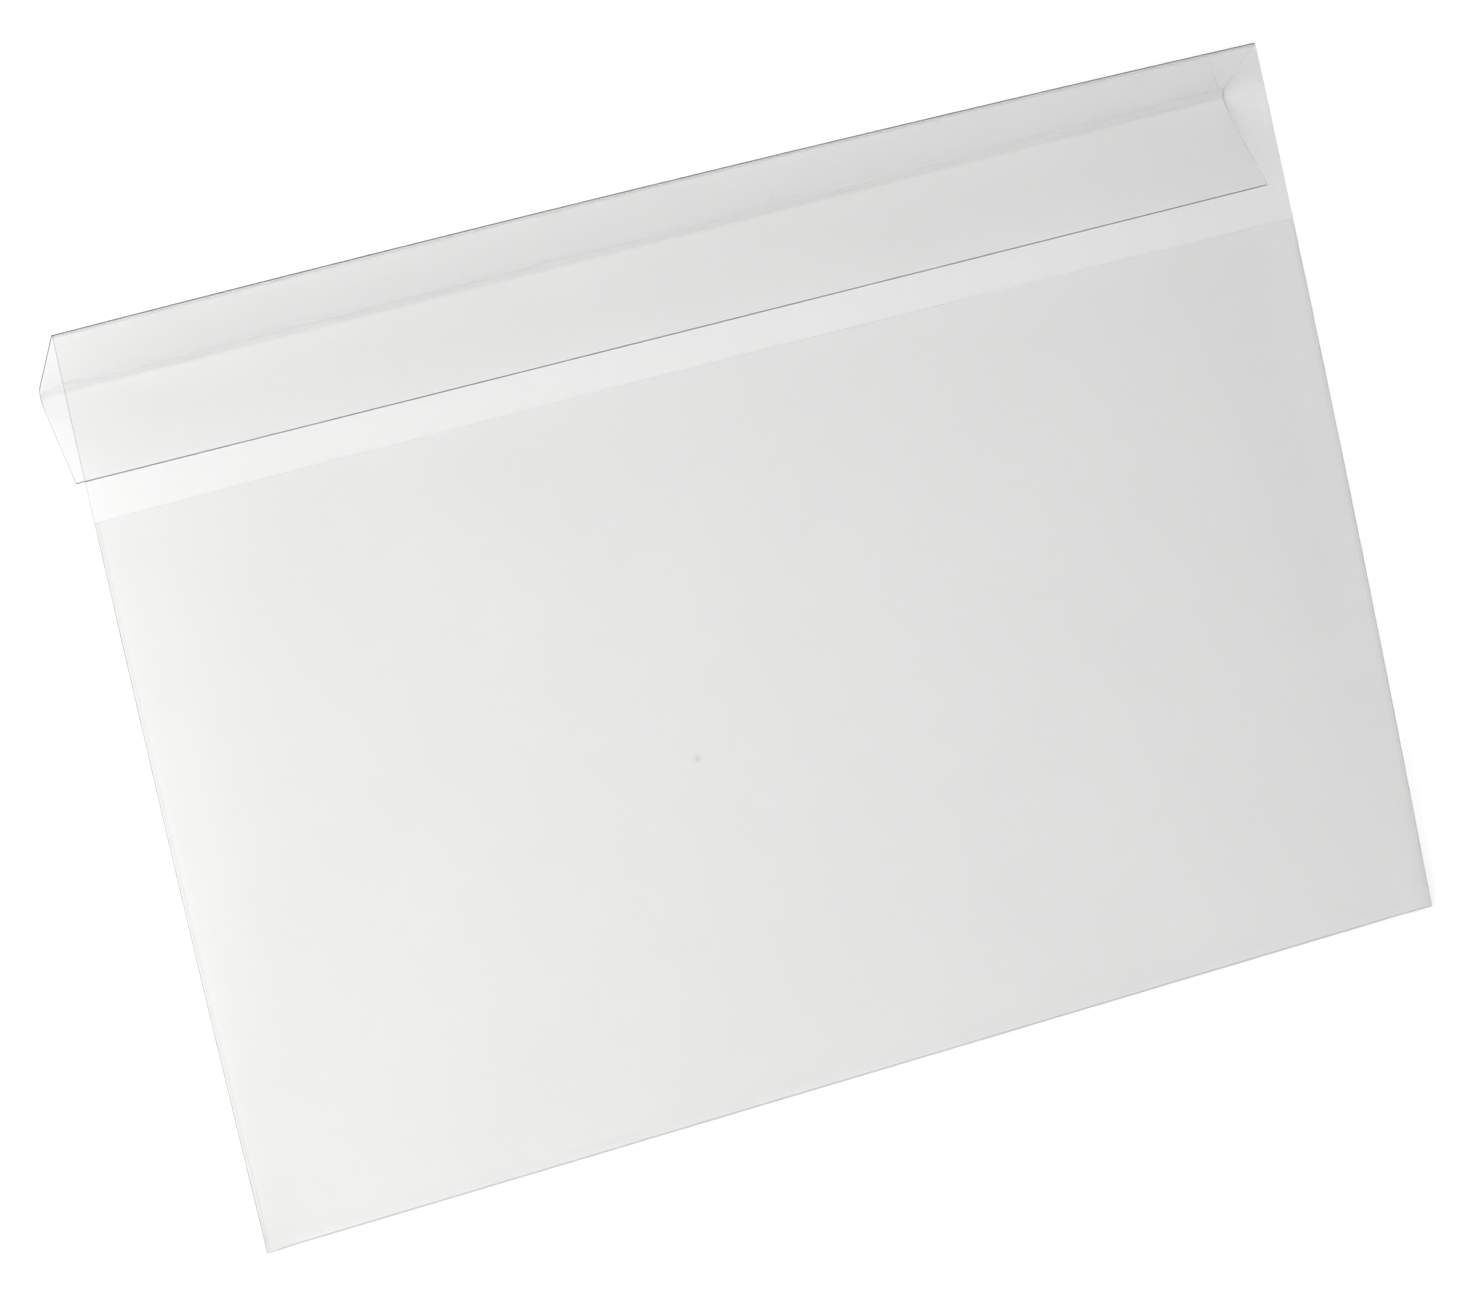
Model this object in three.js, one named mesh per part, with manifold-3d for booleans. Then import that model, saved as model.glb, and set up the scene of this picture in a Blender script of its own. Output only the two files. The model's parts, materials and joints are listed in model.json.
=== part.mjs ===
// Document pocket of clear film for a pallet collar or pallet box.
// One film is folded four times. The pocket is welded at both sides and open at the back,
// and the flap behind its top hooks over the rim of the collar.
// The pocket lies on a table with its front panel up, on its bottom fold and on the flap's crease.
// Millimetres, +X across the width, +Y towards the top fold, +Z up from the table.

import * as THREE from 'three';
import { mergeVertices } from 'three/addons/utils/BufferGeometryUtils.js';
import Module from 'manifold-3d';

// Film
const filmThickness = 0.4;
const sheetWidth = 311;

// Pocket
const panelHeight = 220.5;
const mouthHeight = 176.9;
const slotDepth = 1.2;

// Side seams
const weldWidth = 1.2;
const weldedGap = 0.05;
const marginWidth = 8;
const marginSteps = 6;

// Flap. An angle is how far a fold turns the film, in degrees
const topFoldRadius = 1.0;
const topFoldAngle = 118.4;
const upperLeafLength = 24.9;
const creaseRadius = 3.0;
const creaseAngle = 98.8;
const lowerLeafLength = 24.5;

// Bends
const foldLegLength = 1.0;
const degreesPerFacet = 10;

// The panel has its own axes: x across, v up the panel from the bottom fold, n out of its front face
const halfWidth = sheetWidth / 2;
const weldLine = halfWidth - weldWidth;
const marginLine = weldLine - marginWidth;
const bottomFoldRadius = slotDepth / 2 + filmThickness;
const legLine = bottomFoldRadius + foldLegLength;

// A station is a place on the middle of the film: its v and n, and its heading away from +v towards -n
const radians = THREE.MathUtils.degToRad;

function outward(heading) {
  return [Math.sin(heading), Math.cos(heading)];
}

function straightOn(station, length) {
  const [v, n, heading] = station;
  return [v + length * Math.cos(heading), n - length * Math.sin(heading), heading];
}

function bendCentre(station, radius) {
  const [v, n, heading] = station;
  const [outV, outN] = outward(heading);
  return [v - radius * outV, n - radius * outN];
}

function bend(station, radius, turn) {
  const centre = bendCentre(station, radius);
  const facets = Math.max(2, Math.ceil(turn / degreesPerFacet));
  const stations = [station];
  for (let i = 1; i <= facets; i++) {
    const heading = station[2] + (radians(turn) * i) / facets;
    const [outV, outN] = outward(heading);
    stations.push([centre[0] + radius * outV, centre[1] + radius * outN, heading]);
  }
  return stations;
}

// The flap's course, from the top of the front panel to the free edge
const panelTop = [panelHeight - topFoldRadius - filmThickness / 2, -filmThickness / 2, 0];
const topFoldCourse = bend(panelTop, topFoldRadius, topFoldAngle);
const leafStart = topFoldCourse.at(-1);
const leafEnd = straightOn(leafStart, upperLeafLength);
const creaseCourse = bend(leafEnd, creaseRadius, creaseAngle);
const hookStart = creaseCourse.at(-1);
const freeEdge = straightOn(hookStart, lowerLeafLength);

// The outline of a piece of film seen from the side, a loop round its two faces and its two ends
function filmOutline(stations) {
  const half = filmThickness / 2;
  const faces = [half, -half].map((offset) =>
    stations.map(([v, n, heading]) => {
      const [outV, outN] = outward(heading);
      return new THREE.Vector2(v + offset * outV, n + offset * outN);
    }));
  return [...faces[0], ...faces[1].reverse()];
}

// Extrudes an outline that is drawn in two of the panel's axes along the third
const X = new THREE.Vector3(1, 0, 0);
const V = new THREE.Vector3(0, 1, 0);
const N = new THREE.Vector3(0, 0, 1);

function extrude(outline, depth, start, axes) {
  const shape = new THREE.Shape(outline);
  const solid = new THREE.ExtrudeGeometry(shape, { depth, bevelEnabled: false });
  solid.translate(0, 0, start);
  return solid.applyMatrix4(new THREE.Matrix4().makeBasis(...axes));
}

function extrudeAcross(outline, from, to) {
  return extrude(outline, to - from, from, [V, N, X]);
}

function extrudeUpPanel(outline, from, to) {
  return extrude(outline, to - from, from, [N, X, V]);
}

// Front panel, as wide as the film above the mouth and between the welds below it
function frontPanel() {
  const corners = [
    [weldLine, legLine], [weldLine, mouthHeight], [halfWidth, mouthHeight], [halfWidth, panelTop[0]],
  ];
  const mirrored = corners.map(([x, v]) => [-x, v]).reverse();
  const outline = [...corners, ...mirrored].map(([x, v]) => new THREE.Vector2(x, v));
  return extrude(outline, filmThickness, -filmThickness, [X, V, N]);
}

// The gap between the two sheets at a distance from the weld: it opens smoothly across the margin
function gapAt(fromWeld) {
  const share = THREE.MathUtils.smoothstep(fromWeld, 0, marginWidth);
  return weldedGap + (slotDepth - weldedGap) * share;
}

// Back sheet, the flat part between the two seam margins
function backPanel() {
  const rear = -(2 * filmThickness + slotDepth);
  const outline = [[-marginLine, legLine], [marginLine, legLine], [marginLine, mouthHeight], [-marginLine, mouthHeight]];
  return extrude(outline.map(([x, v]) => new THREE.Vector2(x, v)), filmThickness, rear, [X, V, N]);
}

// Side seam: the welded band with a round lower end, and the back sheet's margin that runs down to it
function sideSeam(side) {
  const weldThickness = 2 * filmThickness + weldedGap;
  const roundRadius = weldThickness / 2;
  const band = [new THREE.Vector2(mouthHeight, 0)];
  const facets = Math.ceil(180 / degreesPerFacet);
  for (let i = 0; i <= facets; i++) {
    const angle = (Math.PI * i) / facets;
    const v = roundRadius - roundRadius * Math.sin(angle);
    band.push(new THREE.Vector2(v, roundRadius * (Math.cos(angle) - 1)));
  }
  band.push(new THREE.Vector2(mouthHeight, -weldThickness));

  const top = [new THREE.Vector2(-(filmThickness + weldedGap), side * (halfWidth - weldWidth / 2))];
  for (let i = 0; i <= marginSteps; i++) {
    const fromWeld = (marginWidth * i) / marginSteps;
    top.push(new THREE.Vector2(-(filmThickness + gapAt(fromWeld)), side * (weldLine - fromWeld)));
  }
  const underside = top.map((p) => new THREE.Vector2(p.x - filmThickness, p.y)).reverse();

  const from = side > 0 ? weldLine : -halfWidth;
  const bandSolid = toManifold(extrudeAcross(band, from, from + weldWidth));
  const marginSolid = toManifold(extrudeUpPanel([...top, ...underside], legLine, mouthHeight));
  return toGeometry(bandSolid.add(marginSolid));
}

// Bottom fold: a bend of half a turn, drawn across the width through rings that close towards the welds
function bottomFold() {
  const fromWeld = [];
  for (let i = 0; i <= marginSteps; i++) fromWeld.push((marginWidth * i) / marginSteps);
  const left = fromWeld.map((distance) => [distance - weldLine, distance]);
  const right = fromWeld.map((distance) => [weldLine - distance, distance]).reverse();
  return loft([...left, ...right].map(([x, distance]) => foldRing(x, gapAt(distance))));
}

function foldRing(x, gap) {
  const outer = filmThickness + gap / 2;
  const facets = Math.ceil(180 / degreesPerFacet);
  const arc = (radius) => {
    const points = [];
    for (let i = 0; i <= facets; i++) {
      const angle = (Math.PI * i) / facets;
      points.push([outer - radius * Math.sin(angle), radius * Math.cos(angle) - outer]);
    }
    return points;
  };
  const loop = [
    [legLine, 0], ...arc(outer), [legLine, -2 * outer],
    [legLine, -(filmThickness + gap)], ...arc(gap / 2).reverse(), [legLine, -filmThickness],
  ];
  return loop.map(([v, n]) => [x, v, n]);
}

// Closed solid through rings of equal count, each a loop that runs counterclockwise seen from +X
function loft(rings) {
  const count = rings[0].length;
  const index = [];
  for (let r = 0; r + 1 < rings.length; r++) {
    for (let i = 0; i < count; i++) {
      const a = r * count + i;
      const b = r * count + ((i + 1) % count);
      index.push(a, b, b + count, a, b + count, a + count);
    }
  }
  const loop = rings[0].map(([, v, n]) => new THREE.Vector2(v, n));
  const last = (rings.length - 1) * count;
  const endLoop = rings.at(-1).map(([, v, n]) => new THREE.Vector2(v, n));
  for (const [a, b, c] of THREE.ShapeUtils.triangulateShape(loop, [])) index.push(c, b, a);
  for (const [a, b, c] of THREE.ShapeUtils.triangulateShape(endLoop, [])) {
    index.push(last + a, last + b, last + c);
  }
  const solid = new THREE.BufferGeometry();
  solid.setAttribute('position', new THREE.Float32BufferAttribute(rings.flat(2), 3));
  solid.setIndex(index);
  solid.computeVertexNormals();
  return solid;
}

// Joining two solids
const wasm = await Module();
wasm.setup();

function toManifold(geometry) {
  const bare = geometry.clone();
  bare.deleteAttribute('normal');
  bare.deleteAttribute('uv');
  const merged = mergeVertices(bare, 1e-5);
  return new wasm.Manifold(new wasm.Mesh({
    numProp: 3,
    vertProperties: new Float32Array(merged.attributes.position.array),
    triVerts: new Uint32Array(merged.index.array),
  }));
}

function toGeometry(manifold) {
  const mesh = manifold.getMesh();
  const geometry = new THREE.BufferGeometry();
  geometry.setAttribute('position', new THREE.Float32BufferAttribute(mesh.vertProperties, 3));
  geometry.setIndex(new THREE.Uint32BufferAttribute(mesh.triVerts, 1));
  geometry.computeVertexNormals();
  return geometry;
}

// Finishes: smooth clear film, and welds and folds that look a little milkier
function film(color, roughness, opacity) {
  return new THREE.MeshStandardMaterial({ color, roughness, metalness: 0, transparent: true, opacity });
}

const clearFilm = film(0xe6e8e7, 0.12, 0.35);
const foldedFilm = film(0xdcdedd, 0.2, 0.45);
const weldedFilm = film(0xf0f0ee, 0.35, 0.6);

function piece(name, geometry, material) {
  const mesh = new THREE.Mesh(geometry, material);
  mesh.name = name;
  return mesh;
}

const across = (stations) => extrudeAcross(filmOutline(stations), -halfWidth, halfWidth);

const pocket = new THREE.Group();
pocket.add(
  piece('front_panel', frontPanel(), clearFilm),
  piece('back_panel', backPanel(), clearFilm),
  piece('bottom_fold', bottomFold(), foldedFilm),
  piece('left_side_weld', sideSeam(-1), weldedFilm),
  piece('right_side_weld', sideSeam(1), weldedFilm),
);

const flap = new THREE.Group();
flap.add(
  piece('top_fold', across(topFoldCourse), foldedFilm),
  piece('flap_upper_leaf', across([leafStart, leafEnd]), clearFilm),
  piece('flap_crease', across(creaseCourse), foldedFilm),
  piece('flap_lower_leaf', across([hookStart, freeEdge]), clearFilm),
);

// A crease bends about a line close to its middle, where both leaves keep their length when it is flat
function hingeLine(station, radius, turn) {
  const centre = bendCentre(station, radius);
  const half = radians(turn) / 2;
  const reach = (radius * half) / Math.sin(half);
  const [outV, outN] = outward(station[2] + half);
  return new THREE.Vector3(0, centre[0] + reach * outV, centre[1] + reach * outN);
}

const topHinge = new THREE.Object3D();
topHinge.position.copy(hingeLine(panelTop, topFoldRadius, topFoldAngle));
const creaseHinge = new THREE.Object3D();
creaseHinge.position.copy(hingeLine(leafEnd, creaseRadius, creaseAngle));
flap.userData.hingeLines = { top_fold_hinge: topHinge, crease_hinge: creaseHinge };

// The table touches the bottom fold and the crease, so the panel leans by the tangent's angle
const creaseCentre = bendCentre(leafEnd, creaseRadius);
const alongPanel = creaseCentre[0] - bottomFoldRadius;
const behindPanel = creaseCentre[1] + bottomFoldRadius;
const radiusStep = creaseRadius + filmThickness / 2 - bottomFoldRadius;
const lean = Math.asin(radiusStep / Math.hypot(alongPanel, behindPanel))
  - Math.atan2(behindPanel, alongPanel);

const lying = new THREE.Group();
lying.add(pocket, flap, topHinge, creaseHinge);
lying.rotation.x = lean;

// The origin is on the table, under the middle of the pocket
const documentPocket = new THREE.Group();
documentPocket.add(lying);
const extent = new THREE.Box3().setFromObject(documentPocket, true);
lying.position.y = -(extent.min.y + extent.max.y) / 2;
lying.position.z = -extent.min.z;
documentPocket.updateMatrixWorld(true);

export default documentPocket;
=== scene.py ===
import json
from math import ceil, cos, pi, radians, sin, sqrt

import bmesh
import bpy
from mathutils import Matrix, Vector


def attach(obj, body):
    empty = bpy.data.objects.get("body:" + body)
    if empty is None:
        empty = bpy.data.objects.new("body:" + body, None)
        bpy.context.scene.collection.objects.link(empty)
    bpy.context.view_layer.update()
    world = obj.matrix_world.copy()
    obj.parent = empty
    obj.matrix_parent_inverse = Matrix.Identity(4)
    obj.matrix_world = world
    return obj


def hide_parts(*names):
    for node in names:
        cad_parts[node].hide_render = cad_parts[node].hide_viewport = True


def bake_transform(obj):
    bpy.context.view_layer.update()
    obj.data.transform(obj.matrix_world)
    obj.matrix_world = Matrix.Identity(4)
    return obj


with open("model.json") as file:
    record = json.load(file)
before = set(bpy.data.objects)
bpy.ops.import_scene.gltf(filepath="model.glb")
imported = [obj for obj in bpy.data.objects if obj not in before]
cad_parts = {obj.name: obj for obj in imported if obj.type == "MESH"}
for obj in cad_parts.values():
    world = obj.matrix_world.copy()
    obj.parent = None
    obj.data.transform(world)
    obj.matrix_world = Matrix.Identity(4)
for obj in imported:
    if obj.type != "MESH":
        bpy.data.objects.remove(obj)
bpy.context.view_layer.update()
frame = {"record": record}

# Front film
# The front panel, the top fold and the flap's upper leaf are one run of clear film, cut to width,
# with square cut edges above the mouth. The fold was creased warm and tight, so it keeps its
# angle and springs back.

film = 0.0004
half_width = 0.1555
panel_height = 0.2205
mouth_height = 0.1761
weld_width = 0.0012
fold_radius = 0.0006
fold_angle = radians(117.86)
upper_leaf_length = 0.02545
slot_depth = 0.0012
margin_width = 0.008
bottom_leg = 0.001
leg_line = slot_depth / 2 + film + bottom_leg
weld_line = half_width - weld_width

# The panel's own axes: across it, up it from the bottom fold, and out of its front face
front_face = next(m for m in frame["record"]["mounts"] if m["name"] == "front_face")
out_of_panel = Vector(front_face["axis"]).normalized()
across = Vector((1, 0, 0))
up_panel = out_of_panel.cross(across)
panel_foot = Vector(front_face["pos_m"]) - up_panel * panel_height / 2

# The real film is a little out of true: its edges bow, and its fold and crease aren't quite
# parallel
foot_drop = 0.0007
fold_bow = 0.00105
fold_drop = 0.0002
fold_skew = -0.0004
crease_skew = 0.00072
edge_rise = 0.0004
edge_skew = -0.00045
right_bow = 0.0009
left_bow = 0.0006
flap_creep = 0.00015


def film_point(x, v, n, stage, run):
    """A point x across, v up and n out of the panel, set out of true, and its place on flat film.

    stage is 0 at the bottom fold, 1 at the top fold, 2 at the crease and 3 at the free edge.
    """
    share = x / half_width
    fold_shift = fold_bow * (1 - share * share) + fold_skew * share - fold_drop
    lines = [-foot_drop, fold_shift, crease_skew * share, edge_rise + edge_skew * share]
    low = min(int(stage), 2)
    shift = lines[low] + (lines[low + 1] - lines[low]) * (stage - low)
    along_table = min(max(stage - 1, 0), 1)
    slid = up_panel * (shift * (1 - along_table)) + Vector((0, shift * along_table, 0))
    bowed_x = x - flap_creep * along_table
    if stage <= 1:
        side_bow = (right_bow + left_bow) / 2 * share + (right_bow - left_bow) / 2 * share * share
        bowed_x += side_bow * 4 * stage * (1 - stage)
    return panel_foot + across * bowed_x + up_panel * v + out_of_panel * n + slid, (x, run)


def spaced(start, end, step):
    count = max(1, ceil(abs(end - start) / step))
    return [start + (end - start) * i / count for i in range(count + 1)]


def straight_course(station, length, step, stages):
    """Stations along a flat stretch.

    A station is v, n, its heading away from up the panel, its stage and its run along the film.
    """
    v, n, heading, _, run = station
    course = []
    for gone in spaced(0, length, step):
        stage = stages[0] + (stages[1] - stages[0]) * gone / length
        place = (v + gone * cos(heading), n - gone * sin(heading))
        course.append((*place, heading, stage, run + gone))
    return course


def bent_course(station, radius, turn, step, stage):
    """Stations round a bend of the given radius to the film's middle."""
    v, n, heading, _, run = station
    middle = (v - radius * sin(heading), n - radius * cos(heading))
    course = []
    for turned in spaced(0, turn, step):
        angle = heading + turned
        place = (middle[0] + radius * sin(angle), middle[1] + radius * cos(angle))
        course.append((*place, angle, stage, run + radius * turned))
    return course


def film_face(course, columns, offset):
    """Rows of points on one face of the film, offset from its middle."""
    rows = []
    for v, n, heading, stage, run in course:
        place = (v + offset * sin(heading), n + offset * cos(heading))
        rows.append([film_point(x, *place, stage, run) for x in columns])
    return rows


def cut_edge(outer, inner, column):
    """The strip that closes the film along one column."""
    return [[outer[r][column], inner[r][column]] for r in range(len(outer))]


joined_within = 2e-7
flattened_within = 1e-7
crisp_angle = radians(40)


def film_mesh(name, faces, cuts, film_material, edge_material):
    """A piece from patches of points.

    A patch is its rows, and True where its faces turn the other way.
    """
    points, places, loops, slots = [], [], [], []
    for slot, patches in enumerate((faces, cuts)):
        for rows, turned in patches:
            width, first = len(rows[0]), len(points)
            points += [p[0] for row in rows for p in row]
            places += [p[1] for row in rows for p in row]
            for r in range(len(rows) - 1):
                for a in range(first + r * width, first + (r + 1) * width - 1):
                    loop = (a, a + 1, a + width + 1, a + width)
                    loops.append(loop[::-1] if turned else loop)
                    slots.append(slot)
    mesh = bpy.data.meshes.new(name)
    mesh.from_pydata(points, [], loops)
    mesh.materials.append(film_material)
    mesh.materials.append(edge_material)
    mesh.polygons.foreach_set("material_index", slots)
    film_run = mesh.uv_layers.new(name="film_run")
    for corner in mesh.loops:
        film_run.data[corner.index].uv = places[corner.vertex_index]
    # Patches share their borders, so those are joined, and a cut edge stays crisp
    joined = bmesh.new()
    joined.from_mesh(mesh)
    bmesh.ops.remove_doubles(joined, verts=joined.verts, dist=joined_within)
    bmesh.ops.dissolve_degenerate(joined, edges=joined.edges, dist=flattened_within)
    joined.to_mesh(mesh)
    joined.free()
    mesh.polygons.foreach_set("use_smooth", [True] * len(mesh.polygons))
    mesh.set_sharp_from_angle(angle=crisp_angle)
    piece = bpy.data.objects.new(name, mesh)
    bpy.context.collection.objects.link(piece)
    return piece


def set_or_link(tree, socket, value):
    if isinstance(value, bpy.types.NodeSocket):
        tree.links.new(value, socket)
    else:
        socket.default_value = value


def maths(tree, operation, *values):
    node = tree.nodes.new("ShaderNodeMath")
    node.operation = operation
    for socket, value in zip(node.inputs, values):
        set_or_link(tree, socket, value)
    return node.outputs[0]


def texture(tree, kind, place, stretch, **settings):
    """A noise or cell texture on the flat film, stretched so many times a metre each way."""
    scaled = tree.nodes.new("ShaderNodeVectorMath")
    scaled.operation = "MULTIPLY"
    set_or_link(tree, scaled.inputs[0], place)
    scaled.inputs[1].default_value = (*stretch, 1)
    node = tree.nodes.new(kind)
    tree.links.new(scaled.outputs[0], node.inputs["Vector"])
    node.inputs["Scale"].default_value = 1
    for name, value in settings.items():
        node.inputs[name.replace("_", " ").title()].default_value = value
    return node


def effect_group(name, inputs, outputs):
    """An empty node group with named sockets. inputs gives each input's default value."""
    group = bpy.data.node_groups.new(name, "ShaderNodeTree")
    for socket, default in inputs.items():
        kind = "NodeSocketVector" if isinstance(default, tuple) else "NodeSocketFloat"
        entry = group.interface.new_socket(name=socket, in_out="INPUT", socket_type=kind)
        entry.default_value = default
    for socket in outputs:
        group.interface.new_socket(name=socket, in_out="OUTPUT", socket_type="NodeSocketFloat")
    given = group.nodes.new("NodeGroupInput").outputs
    put_out = group.nodes.new("NodeGroupOutput").inputs
    return group, given, put_out


def placed(tree, group, **values):
    node = tree.nodes.new("ShaderNodeGroup")
    node.node_tree = group
    for name, value in values.items():
        set_or_link(tree, node.inputs[name.replace("_", " ")], value)
    return node.outputs


# Handling and rolling leave film faintly clouded, with hairlines along its run and a few specks
# of dust
cloud_stretch = (26, 17)
scratch_stretch = (1500, 30)
grain_stretch = (90, 90)
scratch_level = 0.66
scratch_softness = 0.01
speck_size = 0.012
speck_variety = 7
cloud_shade = 0.02
speck_shade = 0.35
cloud_dullness = 0.05
hairline_dullness = 1.2
speck_dullness = 0.5
film_wear, given, put_out = effect_group(
    "film_wear",
    {"Place": (0.0, 0.0, 0.0), "Clouds": 0.5, "Hairlines": 0.5, "Dust": 0.5},
    ("Clearness", "Dullness"),
)
place = given["Place"]
clouds = texture(film_wear, "ShaderNodeTexNoise", place, cloud_stretch, detail=1, roughness=0.5)
scratches = texture(film_wear, "ShaderNodeTexNoise", place, scratch_stretch, detail=0)
grains = texture(film_wear, "ShaderNodeTexVoronoi", place, grain_stretch, randomness=1)
cloudy = maths(film_wear, "MULTIPLY", clouds.outputs["Fac"], given["Clouds"])
above_level = maths(film_wear, "SUBTRACT", scratches.outputs["Fac"], scratch_level)
hairline = maths(film_wear, "SMOOTH_MAX", above_level, 0, scratch_softness)
hairline = maths(film_wear, "MULTIPLY", hairline, given["Hairlines"])
varied = maths(film_wear, "MULTIPLY", grains.outputs["Color"], speck_variety)
near_grain = maths(film_wear, "LESS_THAN", grains.outputs["Distance"], speck_size)
speck = maths(film_wear, "MULTIPLY", near_grain, maths(film_wear, "FRACT", varied))
speck = maths(film_wear, "MULTIPLY", speck, given["Dust"])
shade = maths(film_wear, "MULTIPLY", speck, speck_shade)
shade = maths(film_wear, "MULTIPLY_ADD", cloudy, cloud_shade, shade)
film_wear.links.new(maths(film_wear, "SUBTRACT", 1, shade), put_out["Clearness"])
dull = maths(film_wear, "MULTIPLY", hairline, hairline_dullness)
dull = maths(film_wear, "MULTIPLY_ADD", cloudy, cloud_dullness, dull)
dull = maths(film_wear, "MULTIPLY_ADD", speck, speck_dullness, dull)
film_wear.links.new(dull, put_out["Dullness"])

# Bent film is stretched on its outside, which dulls it. Painted shade also darkens each bend into
# a line, standing in for the shade that falls along a fold
bend_shade_falloff = 1.2
bend_shade_and_dulling, given, put_out = effect_group(
    "bend_shade_and_dulling", {"Run": 0.0, "Middle": 0.0, "Reach": 0.002}, ("Mark",)
)
away = maths(bend_shade_and_dulling, "ABSOLUTE", maths(bend_shade_and_dulling, "SUBTRACT", given["Run"], given["Middle"]))
fade = maths(bend_shade_and_dulling, "SUBTRACT", 1, maths(bend_shade_and_dulling, "DIVIDE", away, given["Reach"]))
fade = maths(bend_shade_and_dulling, "MAXIMUM", fade, 0)
bend_shade_and_dulling.links.new(maths(bend_shade_and_dulling, "POWER", fade, bend_shade_falloff), put_out["Mark"])
film_ior = 1.49


def film_material(name, clear_colour, roughness, wear, shaded_bends=(), fleck=None):
    """Film with its wear, painted shade along its bends and perhaps a fleck in it.

    Each bend is given by its middle on the film's run, its reach, how much painted shade darkens
    it and how much it dulls it. A fleck is its place across and along the film, its reach and how
    much it darkens.
    """
    material = bpy.data.materials.new(name)
    material.use_nodes = True
    tree = material.node_tree
    shader = tree.nodes["Principled BSDF"]
    place = tree.nodes.new("ShaderNodeUVMap")
    place.uv_map = "film_run"
    worn = placed(tree, film_wear, Place=place.outputs[0], **wear)
    clearness, dullness = worn["Clearness"], worn["Dullness"]
    split = tree.nodes.new("ShaderNodeSeparateXYZ")
    tree.links.new(place.outputs[0], split.inputs[0])
    # Each bend dulls the film and darkens it with painted shade
    for middle, reach, darker, duller in shaded_bends:
        bend_shade = placed(tree, bend_shade_and_dulling, Run=split.outputs["Y"], Middle=middle, Reach=reach)["Mark"]
        left_clear = maths(tree, "MULTIPLY_ADD", bend_shade, -darker, 1)
        clearness = maths(tree, "MULTIPLY", clearness, left_clear)
        dullness = maths(tree, "MULTIPLY_ADD", bend_shade, duller, dullness)
    if fleck:
        fleck_x, fleck_run, reach, darker = fleck
        away = tree.nodes.new("ShaderNodeVectorMath")
        away.operation = "DISTANCE"
        tree.links.new(place.outputs[0], away.inputs[0])
        away.inputs[1].default_value = (fleck_x, fleck_run, 0)
        fade = maths(tree, "SUBTRACT", 1, maths(tree, "DIVIDE", away.outputs["Value"], reach))
        spot = maths(tree, "MULTIPLY_ADD", maths(tree, "MAXIMUM", fade, 0), -darker, 1)
        clearness = maths(tree, "MULTIPLY", clearness, spot)
    colour = tree.nodes.new("ShaderNodeCombineColor")
    for channel, value in zip(("Red", "Green", "Blue"), clear_colour):
        tree.links.new(maths(tree, "MULTIPLY", clearness, value), colour.inputs[channel])
    tree.links.new(colour.outputs[0], shader.inputs["Base Color"])
    tree.links.new(maths(tree, "ADD", dullness, roughness), shader.inputs["Roughness"])
    shader.inputs["IOR"].default_value = film_ior
    shader.inputs["Transmission Weight"].default_value = 1
    return material


panel_step = 0.005
leaf_step = 0.004
bend_step = radians(6)
margin_steps = 8
margin = [weld_line - margin_width * i / margin_steps for i in range(margin_steps + 1)]
middle_columns = spaced(-margin[-1], margin[-1], panel_step)
slot_columns = sorted({-x for x in margin} | set(middle_columns) | set(margin))
full_columns = [-half_width] + slot_columns + [half_width]

collar_length = panel_height - fold_radius - film / 2 - mouth_height
stages = [leg_line / panel_height, mouth_height / panel_height, 1]
panel_foot_station = (leg_line, -film / 2, 0, 0, leg_line)
panel_course = straight_course(panel_foot_station, mouth_height - leg_line, panel_step, stages[:2])
collar_course = straight_course(panel_course[-1], collar_length, panel_step, stages[1:])
fold_course = bent_course(collar_course[-1], fold_radius, fold_angle, bend_step, 1)
upper_leaf_course = straight_course(fold_course[-1], upper_leaf_length, leaf_step, (1, 2))
upper_course = collar_course + fold_course[1:] + upper_leaf_course[1:]

film_colour = (0.985, 0.985, 0.984)
film_roughness = 0.02
film_wear_amounts = {"Clouds": 0.6, "Hairlines": 0.5, "Dust": 0.5}
edge_wear_amounts = {"Clouds": 1, "Hairlines": 1, "Dust": 0}
fold_middle = (fold_course[0][-1] + fold_course[-1][-1]) / 2
# Painted shade darkens the top fold into a dark line
front_clear_film = film_material(
    "front_clear_film",
    film_colour,
    film_roughness,
    film_wear_amounts,
    shaded_bends=[(fold_middle, 0.0009, 0.3, 0.08)],
    fleck=(-0.0251, 0.0856, 0.0014, 0.1),
)
cut_film_edge = film_material("cut_film_edge", (0.83, 0.84, 0.835), 0.35, edge_wear_amounts)

film_sides = (film / 2, -film / 2)
lower_outer, lower_inner = (film_face(panel_course, slot_columns, side) for side in film_sides)
upper_outer, upper_inner = (film_face(upper_course, full_columns, side) for side in film_sides)
front_film = film_mesh(
    "front_film",
    [(lower_outer, False), (lower_inner, True), (upper_outer, False), (upper_inner, True)],
    [
        (cut_edge(upper_outer, upper_inner, 0), True),
        (cut_edge(upper_outer, upper_inner, -1), False),
        ([upper_outer[0][:2], upper_inner[0][:2]], True),
        ([upper_outer[0][-2:], upper_inner[0][-2:]], True),
    ],
    front_clear_film,
    cut_film_edge,
)
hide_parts("front_panel", "top_fold", "flap_upper_leaf")


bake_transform(front_film)


# Back sheet
# The same film carried on round the bottom. It lies flat behind the front panel up to its cut
# edge, the mouth, and near the sides it runs down to the welds.

back_clear_film = film_material("back_clear_film", film_colour, film_roughness, film_wear_amounts)


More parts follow.
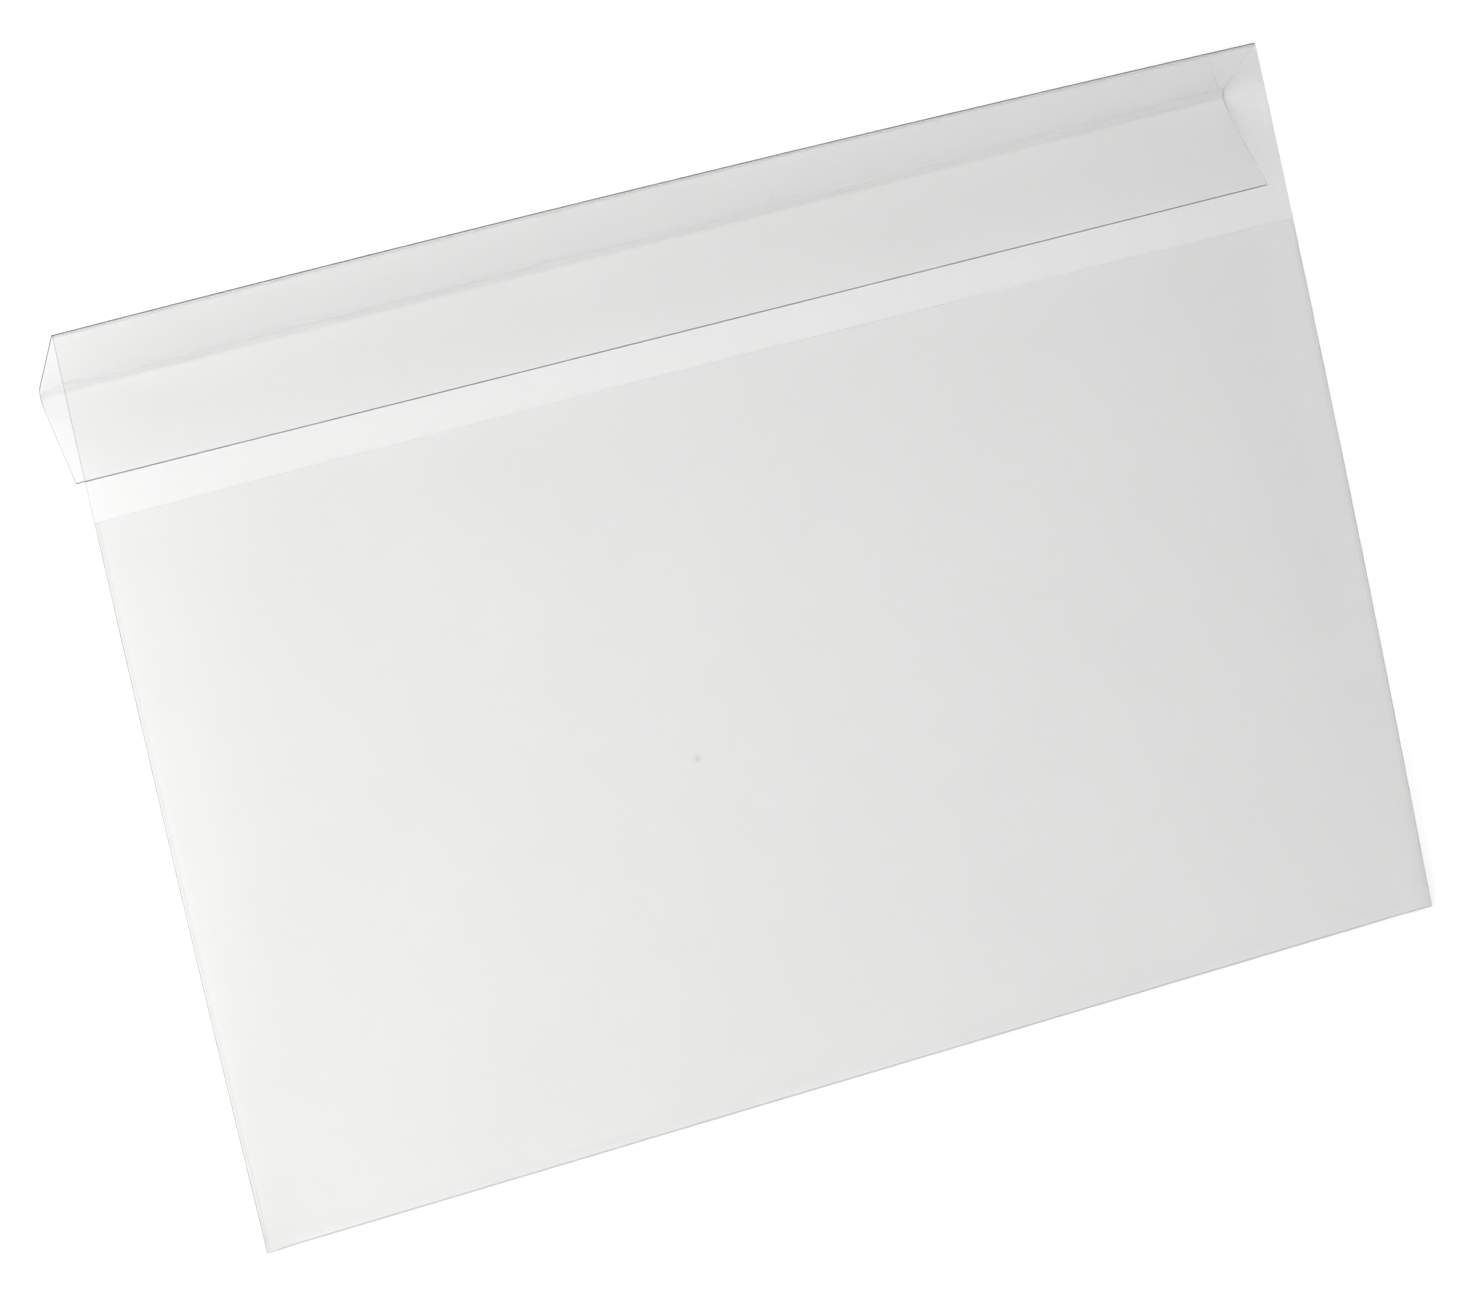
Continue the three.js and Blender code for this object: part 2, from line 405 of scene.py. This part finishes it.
def slot_gap(x):
    share = min(max((weld_line - abs(x)) / margin_width, 0), 1)
    return slot_depth * share * share * (3 - 2 * share)


def back_face(columns, depth_at):
    """Rows of points up the back, as deep below the panel's face as depth_at gives."""
    rows = []
    for v in spaced(leg_line, mouth_height, panel_step):
        rows.append([film_point(x, v, -depth_at(x), v / panel_height, -v) for x in columns])
    return rows


back_outer = back_face(slot_columns, lambda x: 2 * film + slot_gap(x))
back_inner = back_face(slot_columns, lambda x: film + slot_gap(x))
back_film = film_mesh(
    "back_film",
    [(back_outer, True), (back_inner, False)],
    [([back_outer[-1], back_inner[-1]], True)],
    back_clear_film,
    cut_film_edge,
)
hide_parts("back_panel")
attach(back_film, "pocket")


# Bottom fold
# The film turned back under the pocket. It was creased warm, so the sheets close up towards the
# fold and the bend itself is tight. It is pinched flat where it runs into the welds.

bottom_bend_radius = 0.0003
bottom_leg_steps = 8
bottom_bend_steps = 18
# Painted shade darkens the outer rim of the bottom fold into a thin dark line
bottom_folded_film = film_material(
    "bottom_folded_film", film_colour, 0.03, film_wear_amounts, shaded_bends=[(0, 0.00045, 0.3, 0.05)]
)


def bottom_fold_section(x, part, share):
    """A place on the middle of the folded film at x.

    It gives v, how far in front of the fold's middle, and the film's outward way there. part is 0
    down the front, 1 round the bend and 2 up the back, and share is how much of it is gone.
    """
    half_gap = slot_gap(x) / 2 + film / 2
    radius = min(bottom_bend_radius, half_gap)
    bend_v = radius + film / 2
    if part == 1:
        way = (-sin(pi * share), cos(pi * share))
        return bend_v + radius * way[0], radius * way[1], way
    side, up = (1, 1 - share) if part == 0 else (-1, share)
    opening = radius + (half_gap - radius) * up * up * (3 - 2 * up)
    slope = (half_gap - radius) * 6 * up * (1 - up) / (leg_line - bend_v)
    length = sqrt(1 + slope * slope)
    return bend_v + (leg_line - bend_v) * up, side * opening, (-slope / length, side / length)


def folded_bottom(columns, offset):
    """Rows round the bottom fold on one face of the film, offset from its middle."""
    leg = [i / bottom_leg_steps for i in range(bottom_leg_steps + 1)]
    bend = [i / bottom_bend_steps for i in range(1, bottom_bend_steps)]
    steps = [(part, gone) for part, shares in enumerate((leg, bend, leg)) for gone in shares]
    rows = []
    for part, share in steps:
        row = []
        for x in columns:
            v, before, way = bottom_fold_section(x, part, share)
            place = (v + offset * way[0], before - film - slot_gap(x) / 2 + offset * way[1])
            run = (v, bottom_bend_radius * (1 - 2 * share), -v)[part]
            row.append(film_point(x, *place, v / panel_height, run))
        rows.append(row)
    return rows


bottom_outer, bottom_inner = (folded_bottom(slot_columns, side) for side in film_sides)
bottom_fold_film = film_mesh(
    "bottom_fold_film",
    [(bottom_outer, True), (bottom_inner, False)],
    [],
    bottom_folded_film,
    cut_film_edge,
)
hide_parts("bottom_fold")
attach(bottom_fold_film, "pocket")


# Side welds
# A hot wire cuts and fuses both sheets in one stroke. It leaves a narrow band, milky at its rim,
# where the melt has drawn back into a rounded bead.

fused_film = film_material("fused_film", (0.9, 0.9, 0.89), 0.12, edge_wear_amounts)
fused_rim = film_material("fused_rim", (0.82, 0.82, 0.81), 0.4, edge_wear_amounts)
rim_starts = 0.72
weld_shares = [0, 0.3, rim_starts, 0.8, 0.87, 0.93, 0.97, 0.99, 1]
round_steps = 18


def half_weld(x):
    """Half the weld's thickness: flat film, then a bead that rounds off to the cut."""
    share = (abs(x) - weld_line) / weld_width
    round_off = max(share - rim_starts, 0) / (1 - rim_starts)
    return film * sqrt(max(1 - round_off * round_off, 0))


def round_end(columns):
    """Rows round the weld's lower end, from its front to its back."""
    rows = []
    for i in range(round_steps + 1):
        turned = pi * i / round_steps
        run = film - i * film / (round_steps / 2)
        row = []
        for x in columns:
            v = film - half_weld(x) * sin(turned)
            n = half_weld(x) * cos(turned) - film
            row.append(film_point(x, v, n, v / panel_height, run))
        rows.append(row)
    return rows


def side_weld(name, side):
    columns = sorted(side * (weld_line + weld_width * share) for share in weld_shares)
    front = []
    for v in reversed(spaced(leg_line, mouth_height, panel_step)):
        front.append([film_point(x, v, half_weld(x) - film, v / panel_height, v) for x in columns])
    back = back_face(columns, lambda x: film + half_weld(x))
    rows = front + round_end(columns) + back
    # The columns run from left to right, so the rim comes last on the right side and first on the
    # left
    flat, rim = (slice(0, 3), slice(2, 9)) if side > 0 else (slice(6, 9), slice(0, 7))
    band = film_mesh(
        name,
        [([row[flat] for row in rows], True)],
        [([row[rim] for row in rows], True), ([rows[0], rows[-1]], False)],
        fused_film,
        fused_rim,
    )
    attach(band, "pocket")
    return band


left_weld_band = side_weld("left_weld_band", -1)
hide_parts("left_side_weld")
right_weld_band = side_weld("right_weld_band", 1)
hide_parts("right_side_weld")


# Hook film
# The crease and the lower leaf, the rest of the flap. The crease is softer than the top fold,
# and the leaf ends in a cut edge.

crease_radius = 0.003
crease_angle = radians(99.34)
lower_leaf_length = 0.0245
crease_course = bent_course(upper_leaf_course[-1], crease_radius, crease_angle, bend_step, 2)
lower_leaf_course = straight_course(crease_course[-1], lower_leaf_length, leaf_step, (2, 3))
hook_course = crease_course + lower_leaf_course[1:]
crease_middle = (crease_course[0][-1] + crease_course[-1][-1]) / 2
# Painted shade darkens the crease faintly
hook_clear_film = film_material(
    "hook_clear_film",
    film_colour,
    film_roughness,
    film_wear_amounts,
    shaded_bends=[(crease_middle, 0.0013, 0.07, 0.03)],
)
hook_outer, hook_inner = (film_face(hook_course, full_columns, side) for side in film_sides)
hook_film = film_mesh(
    "hook_film",
    [(hook_outer, False), (hook_inner, True)],
    [
        (cut_edge(hook_outer, hook_inner, 0), True),
        (cut_edge(hook_outer, hook_inner, -1), False),
        ([hook_outer[-1], hook_inner[-1]], False),
    ],
    hook_clear_film,
    cut_film_edge,
)
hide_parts("flap_crease", "flap_lower_leaf")
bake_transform(hook_film)


# Table, light and camera
# A plain white table under soft light from the left. The camera stands where the photograph's
# corner points put it.

table_reach = 6
table_level = -0.00005
corner_ways = ((-1, -1), (1, -1), (1, 1), (-1, 1))
table_corners = [(table_reach * x, table_reach * y, table_level) for x, y in corner_ways]
table_mesh = bpy.data.meshes.new("table")
table_mesh.from_pydata(table_corners, [], [(0, 1, 2, 3)])
table = bpy.data.objects.new("table", table_mesh)
bpy.context.collection.objects.link(table)

# The table is as white as paper, and looks whiter still where it is seen directly. Through the
# film, or mirrored in it, it keeps nearly its own tone, as in the photograph.
white_table = bpy.data.materials.new("white_table")
white_table.use_nodes = True
table_tree = white_table.node_tree
surface = table_tree.nodes["Principled BSDF"]
surface.inputs["Base Color"].default_value = (0.9, 0.9, 0.9, 1)
surface.inputs["Roughness"].default_value = 0.9
surface.inputs["Specular IOR Level"].default_value = 0
surface.inputs["Emission Color"].default_value = (1, 1, 1, 1)
table_glow = 0.3
through_film = 0.1
ray = table_tree.nodes.new("ShaderNodeLightPath").outputs
not_direct = maths(table_tree, "MAXIMUM", ray["Is Glossy Ray"], ray["Is Transmission Ray"])
seen = maths(table_tree, "MULTIPLY_ADD", not_direct, through_film, ray["Is Camera Ray"])
glow = maths(table_tree, "MULTIPLY", seen, table_glow)
table_tree.links.new(glow, surface.inputs["Emission Strength"])
table_mesh.materials.append(white_table)

lamp = bpy.data.lights.new("soft_lamp", "AREA")
lamp.size = 0.9
lamp.energy = 7.7
lamp.color = (1, 0.998, 0.985)
lamp_stand = bpy.data.objects.new("soft_lamp", lamp)
lamp_stand.location = (-0.69, -0.11, 0.66)
lamp_stand.rotation_euler = lamp_stand.location.to_track_quat("Z", "Y").to_euler()
bpy.context.collection.objects.link(lamp_stand)

# The room is bright overhead, in front and to the left, and dim at table height, which draws the
# edges dark
horizon_light = 0.08
zenith_light = 0.52
front_light = 0.9
back_light = 0.22
left_light = 0.34
darkest = 0.02
white_backdrop = 0.95
world = bpy.data.worlds.new("room")
world.use_nodes = True
bpy.context.scene.world = world
room_tree = world.node_tree
direction = room_tree.nodes.new("ShaderNodeSeparateXYZ")
sky_direction = room_tree.nodes.new("ShaderNodeTexCoord").outputs["Generated"]
room_tree.links.new(sky_direction, direction.inputs[0])
height = maths(room_tree, "MAXIMUM", direction.outputs["Z"], 0)
room_light = maths(room_tree, "MULTIPLY_ADD", height, zenith_light - horizon_light, horizon_light)
front = maths(room_tree, "MINIMUM", direction.outputs["Y"], 0)
front = maths(room_tree, "MULTIPLY", front, front)
back = maths(room_tree, "MAXIMUM", direction.outputs["Y"], 0)
room_light = maths(room_tree, "MULTIPLY_ADD", front, front_light, room_light)
room_light = maths(room_tree, "MULTIPLY_ADD", back, back_light, room_light)
room_light = maths(room_tree, "MULTIPLY_ADD", direction.outputs["X"], -left_light, room_light)
room_light = maths(room_tree, "MAXIMUM", room_light, darkest)
ray = room_tree.nodes.new("ShaderNodeLightPath").outputs
backdrop = maths(room_tree, "MULTIPLY", ray["Is Camera Ray"], white_backdrop)
background = room_tree.nodes["Background"]
background.inputs["Color"].default_value = (0.99, 1, 0.997, 1)
room_light = maths(room_tree, "MAXIMUM", room_light, backdrop)
room_tree.links.new(room_light, background.inputs["Strength"])

camera_data = bpy.data.cameras.new("camera")
camera_data.sensor_width = 36
camera_data.lens = 156.07
camera = bpy.data.objects.new("camera", camera_data)
camera.location = (-0.50116, 0.05468, 1.4573)
camera.rotation_euler = (radians(2.8559), radians(-18.7006), radians(-15.3566))
bpy.context.collection.objects.link(camera)
bpy.context.scene.camera = camera
bpy.context.scene.view_settings.view_transform = "Standard"

# Light reaches the table through several films, so its path is long and mustn't be blurred on
# the way
light_paths = bpy.context.scene.cycles
light_paths.blur_glossy = 0
light_paths.max_bounces = 24
light_paths.transmission_bounces = 24
light_paths.diffuse_bounces = 3
